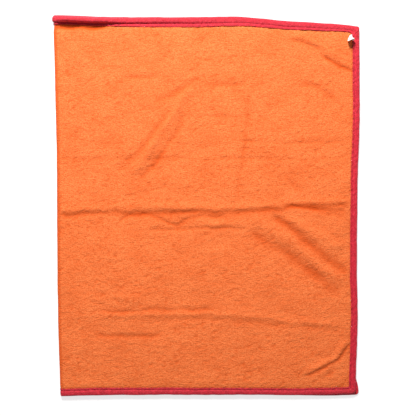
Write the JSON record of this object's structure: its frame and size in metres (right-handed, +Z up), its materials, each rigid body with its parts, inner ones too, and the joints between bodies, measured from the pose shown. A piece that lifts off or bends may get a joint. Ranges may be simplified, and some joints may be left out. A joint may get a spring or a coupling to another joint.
{
  "type": "quick dry towel",
  "caption": "Quick dry travel towel of terry cloth, bound on its edges with contrasting tape, folded once about a hinge line, with a sewn-in care label.",
  "frame": {"origin": "centre of the underside of the folded towel, on the surface that it lies on", "axes": "+Z up from the surface, +Y along the fold towards the far bound edge, +X across the towel from the fold to the open ends"},
  "size_m": [0.6024, 0.75, 0.0181],
  "materials": {
    "terry": "short looped microfibre pile, matt, orange",
    "tape": "knitted binding tape, matt, crimson",
    "thread": "spun sewing thread, low sheen, dark crimson",
    "label": "woven satin ribbon, blank, off-white"
  },
  "bodies": {
    "lower_half": {"terry_lower_half": "terry", "binding_far_lower": "tape", "needle_thread_far_lower": "thread", "looper_thread_far_lower": "thread", "binding_near_lower": "tape", "needle_thread_near_lower": "thread", "looper_thread_near_lower": "thread", "binding_end_lower": "tape", "needle_thread_end_lower": "thread", "looper_thread_end_lower": "thread", "terry_fold": "terry", "binding_far_fold": "tape", "binding_near_fold": "tape", "needle_thread_far_fold": "thread", "needle_thread_near_fold": "thread"},
    "upper_half": {"terry_upper_half": "terry", "binding_far_upper": "tape", "needle_thread_far_upper": "thread", "looper_thread_far_upper": "thread", "binding_near_upper": "tape", "needle_thread_near_upper": "thread", "looper_thread_near_upper": "thread", "binding_end_upper": "tape", "needle_thread_end_upper": "thread", "looper_thread_end_upper": "thread", "care_label_root": "label"},
    "care_label": {"care_label_flap": "label"}
  },
  "joints": [
    {"name": "fold_hinge", "type": "hinge", "parent": "lower_half", "child": "upper_half", "pos_m": [-0.29645, 0, 0.00475], "axis": [0, -1, 0], "range_deg": [0, 180], "deforming": ["terry_fold", "binding_far_fold", "binding_near_fold", "needle_thread_far_fold", "needle_thread_near_fold"]},
    {"name": "label_bend", "type": "hinge", "parent": "upper_half", "child": "care_label", "pos_m": [0.28365, 0.351, 0.0102], "axis": [0, 1, 0], "range_deg": [-20, 125], "stiffness_Nm_per_rad": 0.0002}
  ]
}
